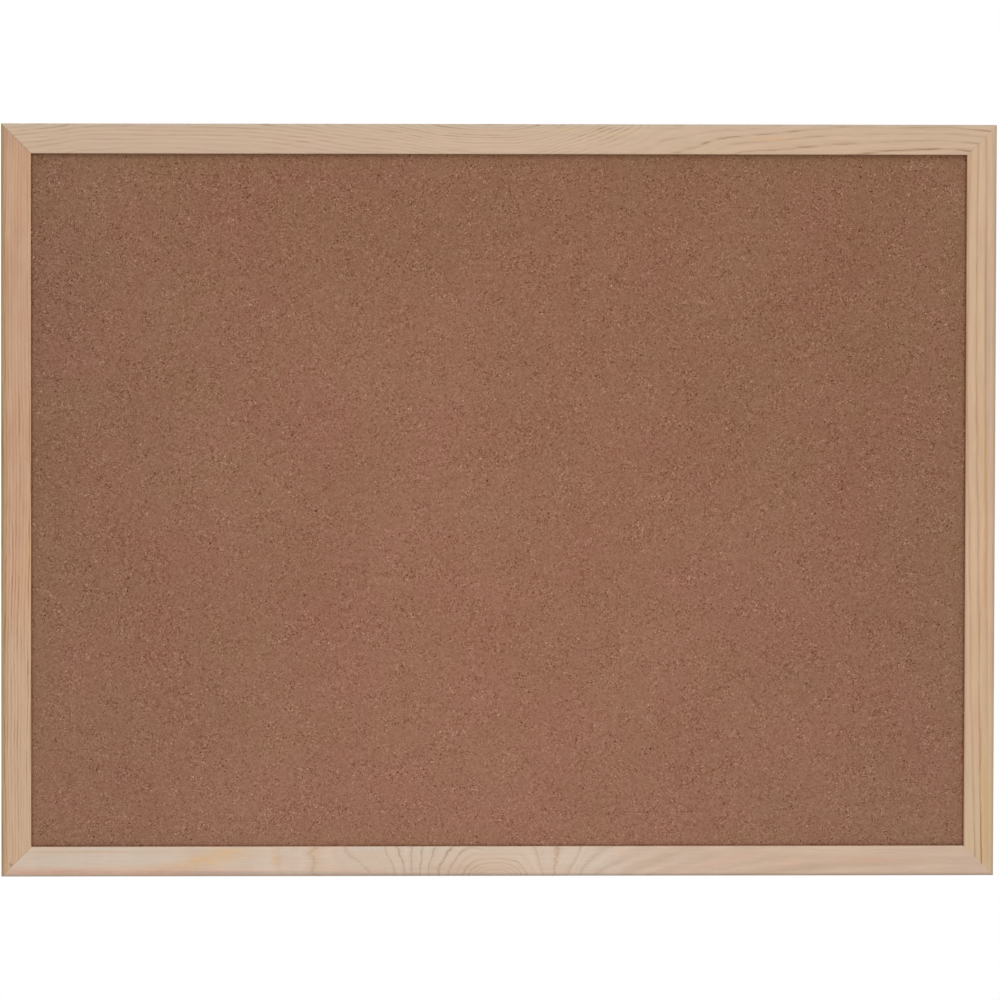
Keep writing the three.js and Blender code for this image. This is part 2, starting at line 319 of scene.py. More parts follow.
def stickSection():
    # The outline of the moulding as (distance from the back, distance inwards from the outer edge). The last
    # number of each straight run or round is how many steps it has.
    m = moulding
    lipBack = panelFront + m["panelPlay"]
    backLip = panelBack - m["panelPlay"]
    solid = faceWidth - m["grooveReach"]
    ease, soft, outer, inner = m["backEase"], m["backSoftness"], m["outerRound"], m["innerEase"]
    afterOuter, afterInner = m["afterRounds"]
    return np.concatenate([
        between((ease + soft, 0), (stickDepth - outer, 0), 8),
        arc((stickDepth - outer, outer), outer, -quarter, 0, 14),
        between((stickDepth, outer + afterOuter), (stickDepth, faceWidth - inner), 9),
        arc((stickDepth - inner, faceWidth - inner), inner, 0, quarter, 6),
        between((stickDepth - inner - afterInner, faceWidth), (lipBack, faceWidth), 3),
        between((lipBack, faceWidth), (lipBack, solid), 3),
        between((lipBack, solid), (backLip, solid), 2),
        between((backLip, solid), (backLip, faceWidth), 3),
        between((backLip, faceWidth), (ease + soft, faceWidth), 2),
        [(ease + soft, faceWidth), (ease, faceWidth - soft / 3), (soft / 3, faceWidth - ease)],
        between((0, faceWidth - ease - soft), (0, ease + soft), 6),
        [(0, ease + soft), (soft / 3, ease), (ease, soft / 3)],
    ])


def nailLine(side, end, fromEdge):
    # The V of a nail seen from behind: a right angle on the mitre with its wings' tips curled back
    n = nails
    tip, curl = fromEdge + n["wing"], n["curl"] * math.sqrt(0.5)
    places = [
        (tip + curl, fromEdge - curl), (tip, fromEdge), (fromEdge, fromEdge),
        (fromEdge, tip), (fromEdge - curl, tip + curl),
    ]
    return np.array([(side * (halfWidth - x), middleZ + end * (halfHeight - z)) for x, z in places])


def stripOutline(line, half, extra):
    # A strip's middle line set off by half its thickness to both sides and lengthened by extra at its ends
    steps = np.diff(line, axis=0)
    steps /= np.linalg.norm(steps, axis=1)[:, None]
    arriving, leaving = np.vstack([steps[:1], steps]), np.vstack([steps, steps[-1:]])
    along = arriving + leaving
    along /= np.linalg.norm(along, axis=1)[:, None]
    across = np.stack([-along[:, 1], along[:, 0]], -1) * (half / (along * leaving).sum(1))[:, None]
    middle = line.copy()
    middle[0] -= extra * along[0]
    middle[-1] += extra * along[-1]
    return np.vstack([middle + across, (middle - across)[::-1]])


nails = {
    "places": (0.28, 0.6),   # shares of the stick's solid width, from the outer corner
    "wing": 3.4,
    "curl": 0.9,
    "steel": 0.5,
    "gap": 0.25,             # between the steel and its slot
    "bottom": 8.65,
}
pilots = {"radius": 1.75, "bottom": 10.25, "sides": 40}
overrun = 1.0    # how far a cutting shape stands out of what it cuts


def nailSlots(name):
    # The slots at both ends of one stick
    shapes = []
    for end in (-1, 1):
        corner = np.array(sticks[name]["outer"]) + np.array(sticks[name]["along"]) * end
        for place in nails["places"]:
            line = nailLine(corner[0], corner[1], (faceWidth - moulding["grooveReach"]) * place)
            outline = stripOutline(line, nails["steel"] / 2 + nails["gap"], nails["gap"])
            shapes.append(prism("slot", outline, overrun, -nails["bottom"]))
    return shapes


def screwHoles(side, radius, corners, top, bottom):
    # A round cutting shape for each screw of one hanger
    shapes = []
    for place in screwPlaces:
        low, high = boxOf(f"hanger_screw_{side}_{place}")
        outline = arc((low + high)[[0, 2]] / 2, radius, 0, fullTurn, corners)[:-1]
        shapes.append(prism("hole", outline, top, bottom))
    return shapes


def makeStick(name):
    # Point (s, section point) lies at s * (half length - distance inwards), so the ends are cut at 45 degrees
    m, stick = moulding, sticks[name]
    fromBack, inwards = stickSection().T
    s = np.linspace(-1, 1, m["stations"] + 1)[:, None]
    setBack = m["mitreGap"] / 2 * math.sqrt(2)
    along = s * (stick["half"] - inwards - setBack)
    onFront = np.clip((fromBack - panelFront) / (stickDepth - panelFront), 0, 1)
    waves = slowWaves(along + m["wanderSkew"] * inwards, m["wanderLengths"], stick["seed"])
    straying = m["wander"] * (waves - 1) / 2
    inwards = np.where(inwards > faceWidth / 2, inwards + straying * onFront, inwards - straying * onFront)
    depth = fromBack + straying * onFront
    outer = np.array(stick["outer"]) * (halfWidth, halfHeight)
    flat = (outer + along[..., None] * stick["along"]) + inwards[..., None] * stick["inward"]
    piece = tube(name + "_planed", np.stack([flat[..., 0], -depth, flat[..., 1] + middleZ], -1))
    cutters = nailSlots(name)
    if name.endswith("stile"):
        side = name.split("_")[0]
        cutters += screwHoles(side, pilots["radius"], pilots["sides"], overrun, -pilots["bottom"])
    cutAway(piece, cutters)
    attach(piece, "board")
    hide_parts(name)
    return piece


framePieces = {name: makeStick(name) for name in sticks}
print("sticks made:", {n: len(p.data.polygons) for n, p in framePieces.items()})

# Pine. u runs along a stick from its left or upper end, a inwards from its outer edge and d back from its
# front, in mm. The growth rings are where a smooth field passes a whole number: field = offset(u)
# + density(u) * (a - half the face) + bend * (a - half the face) squared + depth * d + warp(u) * noise.

pine = {
    "warp": (0.022, 0.09, 0.06),   # noise scales along u, a and d, as in the rows below
    "ripple": (0.12, 0.35, 0.2),
    "rippleShare": 0.35,
    "lineFall": 0.45,          # how much steeper a ring's far side is than its near side
    "softBand": 0.25,          # share of the darkening that spreads over the whole ring
    "softRange": (0.5, 0.3),
    "ringStrength": (0.3, 0.95),   # the least, and what a ring's own draw adds
    "breaks": {"scales": (0.016, 0.16, 0.16), "range": (0.42, 0.6)},      # where the rings fade out
    "fineBreaks": {"scales": (0.05, 0.6, 0.6), "range": (0.40, 0.62)},    # and where they come in dashes
    "tints": {"scales": (0.018, 0.07, 0.07), "range": (0.35, 0.65)},      # between pale and warm wood
    "farShare": 0.9,
    "farWander": 60,
    "markStray": 2.0,          # how ragged the marks' edges are
    "fibre": {"scales": (0.06, 1.2, 1.2), "amount": 0.085},
    "streak": {"scales": (0.022, 0.8, 0.8), "amount": 0.06},
    "dashes": {"scales": (0.16, 3.4, 3.4), "range": (0.70, 0.78), "amount": 0.22},
    "grain": {"along": 0.035, "perRing": 2.3, "deep": 0.3, "amount": 0.11},   # fine lines between the rings
    "seam": (0.05, 0.7),       # how far from a mitre its dark line reaches
    "edgeShadeDepths": (1.0, 3.5),   # where the outer edge's painted shade fades out on the stick's side
    "roughness": (0.5, 0.66),
    "lineRoughness": 0.05,
    "heights": {"fibre": 0.55, "streak": 0.25, "dash": 0.35, "line": 0.3},
    "relief": 0.035,
}

# Offsets, densities, widths, contrasts and warps are curves through (u, value), and across is one through
# (a, value). A calm place quiets the rings: (u, a, reach along, reach across, amount). A mark is a soft
# ellipse of another colour: (u, a, reach along, reach across, lean for each mm across, colour, amount).
# The rim is painted shade and reflection: a colour that darkens and greys the outer rounded edge over its
# reach.
pineLooks = {
    "top_rail": {
        "turn": (90, 0, 0), "flip": (1, 1, 1), "start": (halfWidth, boardHigh[2], stickDepth),
        "pale": (202, 175.7, 148.2), "warm": (204, 174.7, 150.2), "line": (160, 126, 94),
        "offsets": [(0, -6.6), (26, -5.6), (65, -4.1), (120, -4.2), (150, -4.6), (212, -7.6), (240, -9.2),
                    (270, -11.8), (297, -12.6), (318, -11.6), (336, -9.0), (360, -5.4), (384, -2.5),
                    (397, -1.2), (416, -0.6), (446, 0.53), (464, 0.8), (497, 1.43), (549, 1.81),
                    (572, 1.83), (582, 1.66), (592, 1.4), (600, 1.1)],
        "densities": [(0, 0.37), (150, 0.37), (212, 0.42), (297, 0.6), (336, 0.5), (360, 0.4), (384, 0.22),
                      (397, 0.13), (416, 0.13), (446, 0.22), (497, 0.18), (549, 0.22), (600, 0.22)],
        "widths": [(0, 0.32), (240, 0.4), (297, 0.5), (360, 0.5), (384, 0.2), (416, 0.16), (600, 0.2)],
        "contrasts": [(0, 0.68), (200, 0.7), (250, 1.0), (297, 1.0), (350, 0.9), (380, 0.9), (400, 1.25),
                      (480, 1.25), (540, 1.35), (600, 1.35)],
        "across": [(0, 0.9), (18, 0.9)], "breakUp": 0.55, "dashy": 0.7, "streaks": 1.2,
        "farColour": (204, 174, 146), "farFrom": (380, 520),
        "bend": -0.0045, "depth": 0.3, "warps": [(0, 0.9), (380, 0.9), (420, 0.42), (600, 0.3)],
        "rim": (0.86, 0.93, 0.98), "edgeShadeReach": 3.4, "seams": (0.14, 0.0),
        "calm": [
            (297, 14.5, 52, 4.5, 0.85),
            (248, 13.0, 26, 5.0, 0.6),
            (385, 14.0, 14, 4.0, 0.5),
        ],
        "marks": [
            (462, 8.6, 11, 0.8, -4, (216, 170, 108), 0.55),
            (342, 3.4, 6, 0.8, -3, (222, 190, 130), 0.5),
            (374, 5.4, 9, 0.8, -3, (216, 186, 132), 0.45),
            (130, 15, 190, 4, 0, (201, 170, 147), 0.45),
            (300, 9, 90, 9, 0, (207, 180, 153), 0.6),
            (440, 15, 100, 4, 0, (206, 173, 146), 0.4),
            (15, 9, 16, 12, 0, (202, 179, 148), 0.3),
        ],
    },
    "bottom_rail": {
        "turn": (90, 0, 0), "flip": (1, 1, -1), "start": (halfWidth, -boardLow[2], stickDepth),
        "pale": (207, 188, 170), "warm": (209, 183, 161), "line": (172, 144, 118),
        "offsets": [(0, 17), (60, 16.7), (128, 16), (167, 15), (187, 14), (215, 13), (227.8, 12), (234, 11),
                    (241.3, 10), (247, 9), (252.5, 8), (258.5, 7), (266, 6), (273, 5), (281, 3.6), (290, 2.5),
                    (298, 2.2), (307, 2.6), (316.8, 3.8), (325, 5), (334.3, 6), (345.7, 7), (354, 8),
                    (374.6, 9), (396, 10), (420, 11), (456, 12), (522, 12.6), (600, 13)],
        "densities": [(0, 0.03), (150, 0.0), (190, 0.0), (215, -0.05), (231, -0.065), (247, 0.0), (262, 0.05),
                      (275, 0.11), (288, 0.3), (298, 0.42), (308, 0.3), (318, 0.1), (334, 0.0), (350, -0.065),
                      (375, -0.09), (420, -0.12), (600, -0.15)],
        "widths": [(0, 0.3), (187, 0.14), (230, 0.16), (270, 0.2), (298, 0.34), (330, 0.2), (360, 0.3),
                   (400, 0.7), (600, 0.8)],
        "contrasts": [(0, 0.07), (150, 0.11), (172, 0.2), (187, 0.74), (205, 0.49), (240, 0.89), (275, 0.89),
                      (298, 0.32), (320, 0.68), (350, 0.62), (375, 0.40), (450, 0.38), (520, 0.32),
                      (600, 0.18)],
        "across": [(0, 1.0), (18, 1.0)], "breakUp": 0.3, "dashy": 0.25, "streaks": 1.1,
        "farColour": (204, 175, 152), "farFrom": (340, 450),
        "bend": 0.0, "depth": 0.12, "warps": [(0, 0.75), (600, 0.75)],
        "rim": (0.88, 0.87, 0.87), "edgeShadeReach": 2.8, "seams": (0.08, 0.0),
        "calm": [],
        "marks": [
            (126, 10.6, 16, 7, 2.7, (213, 176, 134), 0.85),
            (60, 3.4, 150, 2.4, 0, (208, 166, 140), 0.65),
            (60, 2.5, 95, 1.3, 0, (196, 156, 134), 0.75),
            (155, 2.2, 52, 1.1, 0, (182, 155, 138), 0.8),
            # painted highlight: a light line along the bottom rail's outer round-over
            (152, 4.2, 36, 0.5, 0, (220, 192, 173), 0.65),
            (262, 1.5, 85, 0.9, 0, (182, 156, 140), 0.65),
            (285, 4.2, 45, 2.4, 0, (198, 168, 142), 0.6),
            (355, 4.2, 50, 2.2, 0, (206, 175, 150), 0.5),
            (45, 10, 40, 3.5, 0, (207, 191, 176), 0.6),
            (168, 9, 22, 9, 0, (210, 189, 171), 0.6),
            (505, 15, 32, 2.5, 0, (213, 186, 162), 0.6),
            (505, 10, 32, 3, 0, (203, 170, 144), 0.5),
            (60, 15, 50, 0.8, 0, (196, 166, 136), 0.45),
            (165, 11, 2.8, 5, -0.3, (212, 172, 132), 0.7),
            (189, 13, 2.6, 6, -0.2, (216, 178, 134), 0.5),
            (335, 13, 1.8, 5, 0, (214, 168, 136), 0.5),
            (374, 15, 4, 2.6, 1, (214, 176, 146), 0.4),
            (530, 9, 24, 2.0, 4, (204, 162, 139), 0.55),
            (438, 10, 6, 8, 3.6, (211, 170, 146), 0.45),
            (390, 9, 5, 6, 3.0, (197, 167, 146), 0.4),
            (478, 8, 9, 3, 0, (213, 172, 146), 0.45),
            (322, 9, 18, 9, 0, (214, 189, 168), 0.6),
            (358, 10, 22, 8, 0, (212, 193, 178), 0.5),
        ],
    },
    "left_stile": {
        "turn": (90, 0, 90), "flip": (1, 1, -1), "start": (boardHigh[2], halfWidth, stickDepth),
        "pale": (202.5, 163.5, 134), "warm": (196, 153, 122), "line": (160, 116, 84),
        "offsets": [(0, 9), (100, 9.4), (220, 8.8), (330, 9.5), (454, 9.2)],
        "densities": [(0, 0.55), (200, 0.5), (454, 0.55)],
        "widths": [(0, 0.4), (454, 0.4)],
        "contrasts": [(0, 0.52), (120, 0.68), (160, 0.78), (200, 1.0), (310, 1.2), (360, 1.05), (400, 0.85),
                      (454, 0.42)],
        "across": [(0, 1.0), (18, 1.0)], "breakUp": 0.5, "dashy": 0.6, "streaks": 2.0,
        "farColour": (203, 170, 140), "farFrom": (260, 330),
        "bend": 0.0, "depth": 0.35, "warps": [(0, 1.1), (454, 1.1)],
        "rim": (0.80, 0.80, 0.72), "edgeShadeReach": 5.2, "seams": (0.14, 0.08),
        "calm": [],
        "marks": [
            (282, 9, 30, 6, 0, (208, 165, 133), 0.6),
            (104, 10, 34, 8, 0, (189, 149, 121), 0.5),
            (8, 8, 9, 12, 0, (186, 148, 120), 0.55),
            (265, 15.7, 36, 0.9, 0, (206, 162, 112), 0.7),
            (250, 1.6, 260, 1.0, 0, (194, 150, 104), 0.5),
            (370, 2.3, 90, 0.45, 0, (208, 168, 134), 0.6),
            (185, 3.5, 60, 0.8, 0, (184, 146, 115), 0.5),
            (330, 3.4, 40, 0.6, 0, (184, 148, 117), 0.5),
            (447, 6, 1.0, 1.2, 0.6, (130, 100, 78), 0.6),
        ],
    },
    "right_stile": {
        "turn": (90, 0, -90), "flip": (1, 1, 1), "start": (boardHigh[2], halfWidth, stickDepth),
        "pale": (207, 175, 143), "warm": (206, 169.5, 138), "line": (160, 119, 78),
        "offsets": [(0, 1.2), (12, 1.45), (90, 1.46), (135, 1.44), (225, 1.64), (315, 1.86), (410, 2.2),
                    (454, 2.5)],
        "densities": [(0, 0.22), (135, 0.18), (225, 0.19), (315, 0.2), (454, 0.26)],
        "widths": [(0, 0.18), (454, 0.22)],
        "contrasts": [(0, 0.9), (100, 0.9), (225, 0.9), (330, 0.85), (454, 0.95)],
        "across": [(0, 0.1), (3, 0.3), (6, 1.4), (8.5, 0.9), (11.5, 0.6), (14, 0.6), (18, 0.6)],
        "breakUp": 0.35, "dashy": 0.3, "streaks": 1.5,
        "farColour": (204, 175, 142), "farFrom": (360, 420),
        "bend": 0.0, "depth": 0.25, "warps": [(0, 0.35), (454, 0.35)],
        "rim": (0.85, 0.885, 0.915), "edgeShadeReach": 3.6, "seams": (0.0, 0.0),
        "calm": [],
        "marks": [
            # painted shade: darker along the right stile's inner edge by the cork
            (227, 17.8, 600, 0.9, 0, (186, 149, 124), 0.75),
            (170, 6.2, 130, 0.7, 0, (182, 142, 98), 0.75),
            (265, 12, 40, 6, 0, (213, 176, 144), 0.5),
            (38, 10.4, 34, 2.2, 0, (213, 181, 151), 0.6),
            (150, 3.2, 130, 2.6, 0, (199, 170, 147), 0.65),
            (405, 5.5, 40, 2.4, 0, (206, 171, 122), 0.6),
            (395, 4.9, 70, 0.8, 0, (190, 156, 122), 0.5),
            (150, 4.6, 50, 0.9, 0, (188, 158, 130), 0.5),
            (240, 5.4, 60, 0.9, 0, (208, 156, 104), 0.6),
            (420, 4.0, 30, 1.2, 0, (206, 166, 110), 0.5),
        ],
    },
}


def pineFinish(name):
    look, half = pineLooks[name], sticks[name]["half"]
    f = Finish(bpy.data.materials.new("pine_" + name))
    place = f.place(look["start"], look["turn"], look["flip"])
    u, a, d = f.axes(place)
    fromMiddle = a - faceWidth / 2
    warp = f.noise(place, pine["warp"], 3.0) - 0.5
    ripple = f.noise(place, pine["ripple"]) - 0.5
    field = f.follow(u, look["offsets"]) + f.follow(u, look["densities"]) * fromMiddle
    field = field + look["bend"] * fromMiddle * fromMiddle + look["depth"] * d
    field = field + f.follow(u, look["warps"]) * (warp + pine["rippleShare"] * ripple)
    ring = (field + 0.5).math("FLOOR")
    away = field - ring
    width = f.follow(u, look["widths"])
    line = f.smooth(away, -width, 0) * (1 - f.smooth(away, 0, width * pine["lineFall"]))
    rise, fall = pine["softRange"]
    soft = f.smooth(away, -rise, 0) * (1 - f.smooth(away, 0, fall))
    share = (1 - pine["softBand"]) * line + pine["softBand"] * soft

    def patchy(part, detail):
        return f.smooth(f.noise(place, pine[part]["scales"], detail), *pine[part]["range"])

    broken = 1 - look["breakUp"] * patchy("breaks", 3.0)
    broken = broken * (1 - look["dashy"] * patchy("fineBreaks", 2.0))
    for calmU, calmA, *reach, amount in look["calm"]:
        broken = broken * (1 - amount * f.bell(u - calmU, a - calmA, reach))
    least, added = pine["ringStrength"]
    strength = least + added * f.node("ShaderNodeTexWhiteNoise", {"noise_dimensions": "1D"}, {"W": ring})
    darkness = share * strength * broken * f.follow(u, look["contrasts"]) * f.follow(a, look["across"])

    colour = f.mixed(patchy("tints", 3.0), paint(*look["pale"]), paint(*look["warm"]))
    far = f.smooth(u + pine["farWander"] * warp, *look["farFrom"])
    colour = f.mixed(far * pine["farShare"], colour, paint(*look["farColour"]))
    for markU, markA, *reach, slant, tint, amount in look["marks"]:
        aside = a - markA
        spread = f.bell(u - markU - slant * aside, aside, reach, pine["markStray"] * (warp + ripple))
        colour = f.mixed((spread * amount).math("MINIMUM", amount), colour, paint(*tint))
    colour = f.mixed(darkness, colour, paint(*look["line"]))

    fibre, streak, grain = pine["fibre"], pine["streak"], pine["grain"]
    fibres = f.noise(place, fibre["scales"], 3.0, 0.6)
    streaks = f.noise(place, streak["scales"], 3.0, 0.6)
    dash = patchy("dashes", 1.0)
    seam = abs(half - abs(u - half) - a) * math.sqrt(0.5)
    seamStart, seamEnd = look["seams"]
    seamDark = seamStart + (seamEnd - seamStart) * f.smooth(u, half - 1, half + 1)
    seamDark = seamDark * (1 - f.smooth(seam, *pine["seam"]))
    laid = f.node("ShaderNodeCombineXYZ", {}, {
        0: u * grain["along"], 1: field * grain["perRing"], 2: d * grain["deep"]})
    lines = f.noise(laid, 1.0, 3.0, 0.65)
    shade = 1 + 2 * fibre["amount"] * (fibres - 0.5)
    shade = shade + 2 * streak["amount"] * look["streaks"] * (streaks - 0.5)
    shade = shade + 2 * grain["amount"] * (lines - 0.5)
    shade = shade * (1 - dash * pine["dashes"]["amount"]) * (1 - seamDark)
    grey = f.node("ShaderNodeCombineColor", {}, {0: shade, 1: shade, 2: shade})
    colour = f.mixed(1.0, colour, grey, "MULTIPLY")
    # Painted shade and reflection: the outer rounded edge made darker and greyer
    rim = (1 - f.smooth(a, 0.0, look["edgeShadeReach"])) * (1 - f.smooth(d, *pine["edgeShadeDepths"]))
    colour = f.mixed(rim, colour, f.mixed(1.0, colour, [*look["rim"], 1], "MULTIPLY"))

    low, high = pine["roughness"]
    roughness = low + (high - low) * fibres + pine["lineRoughness"] * darkness
    amounts = pine["heights"]
    height = amounts["fibre"] * fibres + amounts["streak"] * streaks
    height = height - amounts["dash"] * dash - amounts["line"] * darkness
    return f.finish(colour, roughness, height, pine["relief"], specular=0.35)


for name, piece in framePieces.items():
    piece.data.materials.append(pineFinish(name))
print("pine finished")

# Ring hangers: a folded steel strap on the back of each stile, the ring in its fold, and two screws

hanger = {
    "steel": 0.8,
    "edgeRound": 0.16,
    "width": 8.0,
    "slit": 0.1,             # between the two legs of the strap
    "seatGap": 0.1,          # between the strap and the wood
    "bend": 1.2,             # radius where the outer leg leaves the fold
    "foldTurn": 150.0,       # degrees that the fold goes round past its top
    "tipWidth": 0.5,         # the half-round tails end this narrow
    "wire": 0.9,             # radius of the ring's wire
    "wireGap": 0.35,         # between the wire and the fold
    "ringCorner": 1.6,
    "ringReach": 12.0,       # from the bar to the middle of the round end
    "ringRest": 0.3,         # between the hanging ring and the strap
    "wireSides": 28,
    "holeRadius": 1.75,
    "holeSides": 48,
    "strapSteps": {"tail": 13, "leg": 20, "fold": 42, "bend": 10, "corner": 4, "across": 9},
    "ringSteps": {"bar": 24, "corner": 10, "side": 10, "end": 56},
}
axisY, axisZ = np.array(frame["joints"][0]["pos_m"])[1:] / mm
strapDrop = axisZ - boxOf("hanger_strap_left")[0][2]
ringHalf = (boxOf("hanger_ring_left")[1][0] - boxOf("hanger_ring_left")[0][0]) / 2 - hanger["wire"]
outerLegY = hanger["seatGap"] + 1.5 * hanger["steel"] + hanger["slit"]


def strapLine():
    # The strip's middle line as (y, z from the ring's bar): up the wood, round the bar, down the outer leg.
    # Each leg's last stretch is stepped by 1 - cos, so that its half-round tail is drawn evenly.
    h, steps = hanger, hanger["strapSteps"]
    innerY, fold = h["seatGap"] + h["steel"] / 2, h["wire"] + h["wireGap"] + h["steel"] / 2
    half = h["width"] / 2
    leastTurn = math.asin(h["tipWidth"] / 2 / half)
    tail = half * (1 - np.cos(np.linspace(leastTurn, quarter, steps["tail"]))) - strapDrop
    rising = np.concatenate([tail, np.linspace(half - strapDrop, 0, steps["leg"])[1:-1]])
    turn = np.radians(np.linspace(-90, h["foldTurn"], steps["fold"]))
    folded = np.stack([axisY + fold * np.sin(turn), fold * np.cos(turn)], -1)
    dive = math.radians(h["foldTurn"]) - quarter
    slope = (folded[-1, 0] - outerLegY - h["bend"] * (1 - math.cos(dive))) / math.sin(dive)
    bendTop = folded[-1, 1] - math.cos(dive) * max(slope, 0)
    back = np.linspace(dive, 0, steps["bend"])
    bendY = outerLegY + h["bend"] * (1 - np.cos(back))
    bendZ = bendTop + h["bend"] * (np.sin(back) - math.sin(dive))
    leg = np.linspace(bendZ[-1], half - strapDrop, steps["leg"])[1:-1]
    falling = np.concatenate([leg, tail[::-1]])
    return np.concatenate([
        np.stack([np.full_like(rising, innerY), rising], -1),
        folded,
        np.stack([bendY, bendZ], -1),
        np.stack([np.full_like(falling, outerLegY), falling], -1),
    ])


def makeStrap(side, x):
    # A rounded strip section swept along the folded line, as wide at each step as the tail's half circle is.
    # Flat and level give a point's side of the section, roundW and roundT its share of the corners' rounding.
    h, steps = hanger, hanger["strapSteps"]
    line = strapLine()
    step = np.gradient(line, axis=0)
    step /= np.linalg.norm(step, axis=1)[:, None]
    normal = np.stack([-step[:, 1], step[:, 0]], -1)
    half, r = h["width"] / 2, h["edgeRound"]
    fromTail = np.clip(line[:, 1] + strapDrop, 0, half)
    width = np.sqrt(np.maximum(half ** 2 - (half - fromTail) ** 2, (h["tipWidth"] / 2) ** 2))
    corner = np.linspace(0, quarter, steps["corner"])
    across = np.linspace(-1, 1, steps["across"])[1:-1]
    one, none = np.ones(len(corner)), np.zeros(len(across))
    flat = np.concatenate([one, across[::-1], -one, -one, across, one])
    level = np.repeat([1, -1], len(flat) // 2)
    c, s = np.cos(corner), np.sin(corner)
    roundW = np.concatenate([c, none, -c[::-1], -c, none, c[::-1]])
    roundT = np.concatenate([s, none + 1, s[::-1], -s, none - 1, -s[::-1]])
    w = flat * (width[:, None] - r) + roundW * r
    t = level * (h["steel"] / 2 - r) + roundT * r
    grid = np.stack([x + w, line[:, :1] + normal[:, :1] * t, axisZ + line[:, 1:] + normal[:, 1:] * t], -1)
    piece = tube(f"strap_{side}", grid)
    top = boxOf(f"hanger_screw_{side}_upper")[1][1] + overrun
    cutAway(piece, screwHoles(side, h["holeRadius"], h["holeSides"], top, -overrun))
    return piece


def ringLine():
    # The D of the ring's wire as (x, z): its straight bar along z = 0, two small corners and a round end
    corner, shoulder, steps = hanger["ringCorner"], hanger["ringReach"] - ringHalf, hanger["ringSteps"]
    return np.concatenate([
        between((corner - ringHalf, 0), (ringHalf - corner, 0), steps["bar"]),
        arc((ringHalf - corner, -corner), corner, quarter, 0, steps["corner"])[:-1],
        between((ringHalf, -corner), (ringHalf, -shoulder), steps["side"]),
        arc((0, -shoulder), ringHalf, 0, -2 * quarter, steps["end"])[:-1],
        between((-ringHalf, -shoulder), (-ringHalf, -corner), steps["side"]),
        arc((corner - ringHalf, -corner), corner, 2 * quarter, quarter, steps["corner"])[:-1],
    ])


def makeRing(side, x):
    # Round wire swept along the D: point = line + radius * (cos turn * outward normal + sin turn * y axis),
    # then tipped about its bar until it rests just off the strap
    h = hanger
    line = ringLine()
    ahead = np.roll(line, -1, axis=0) - np.roll(line, 1, axis=0)
    ahead /= np.linalg.norm(ahead, axis=1)[:, None]
    normal = np.stack([ahead[:, 1], -ahead[:, 0]], -1)
    turn = np.linspace(0, fullTurn, h["wireSides"] + 1)[:-1]
    flat = line[:, None] + h["wire"] * np.cos(turn)[None, :, None] * normal[:, None]
    y = np.broadcast_to(h["wire"] * np.sin(turn), flat.shape[:2])
    strapTop = outerLegY + h["steel"] / 2
    tilt = math.asin((strapTop + h["ringRest"] + h["wire"] - axisY) / h["ringReach"])
    tipped = np.stack([
        x + flat[..., 0],
        axisY + y * math.cos(tilt) - flat[..., 1] * math.sin(tilt),
        axisZ + y * math.sin(tilt) + flat[..., 1] * math.cos(tilt),
    ], -1)
    faces = gridFaces(*flat.shape[:2], closeRows=True, closeColumns=True)
    return closedMesh(f"ring_{side}", tipped.reshape(-1, 3), faces)


screw = {
    "root": 1.05,
    "crest": 1.5,
    "pitch": 1.25,
    "point": 2.4,            # length of the tapered tip
    "tip": 0.03,             # share of the thread's radius left at its end
    "headRadius": 2.8,
    "headEase": 0.15,
    "sideHeight": 0.12,      # of the head's upright side
    "rimHeight": 0.62,
    "domeTurn": 86,          # degrees of the dome before its flat top
    "domeSteps": 12,
    "underHead": 0.6,        # plain neck
    "neckGap": 0.02,         # between the thread's end and the neck
    "seatGap": 0.05,
    "threadStep": 0.11,
    "sides": 40,
    "recessMouth": (3.3, 0.78),    # the cross's length and the width of its arms
    "recessFloor": (1.5, 0.5),
    "recessDepth": 1.2,
    "turns": {"left": (45, 66), "right": (31, 53)},   # degrees that each cross stands turned
}


def makeScrew(side, place, turnDegrees):
    # Radius for each y and turn. Thread: root + (crest - root) * (1 - |2 * fraction(y / pitch - turn) - 1|),
    # narrowed to nothing over the point. Head: a flat underside, a rim and an elliptical dome.
    s = screw
    low, high = boxOf(f"hanger_screw_{side}_{place}")
    centre, tip, top = (low + high) / 2, low[1], high[1]
    seat = outerLegY + hanger["steel"] / 2 + s["seatGap"]
    turn = np.linspace(0, fullTurn, s["sides"] + 1)[:-1][None]
    y = np.arange(tip, seat - s["underHead"], s["threadStep"])[:, None]
    ridge = 1 - np.abs(2 * np.mod(y / s["pitch"] - turn / fullTurn, 1) - 1)
    thread = (s["root"] + (s["crest"] - s["root"]) * ridge) * np.clip((y - tip) / s["point"], s["tip"], 1)
    dome = np.radians(np.linspace(0, s["domeTurn"], s["domeSteps"]))
    neck = [s["root"], s["root"], s["headRadius"] - s["headEase"], s["headRadius"]]
    headRadii = np.concatenate([neck, s["headRadius"] * np.cos(dome)])
    levels = [seat - s["underHead"] + s["neckGap"], seat, seat, seat + s["sideHeight"]]
    rim = seat + s["rimHeight"]
    headPlaces = np.concatenate([levels, rim + (top - rim) * np.sin(dome)])
    radius = np.concatenate([thread, np.repeat(headRadii[:, None], s["sides"], 1)])
    height = np.repeat(np.concatenate([y[:, 0], headPlaces])[:, None], s["sides"], 1)
    grid = np.stack([centre[0] + radius * np.cos(turn), height, centre[2] + radius * np.sin(turn)], -1)
    piece = tube(f"screw_{side}_{place}", grid)
    cutAway(piece, [recessCutter(centre, top, math.radians(turnDegrees))])
    return piece


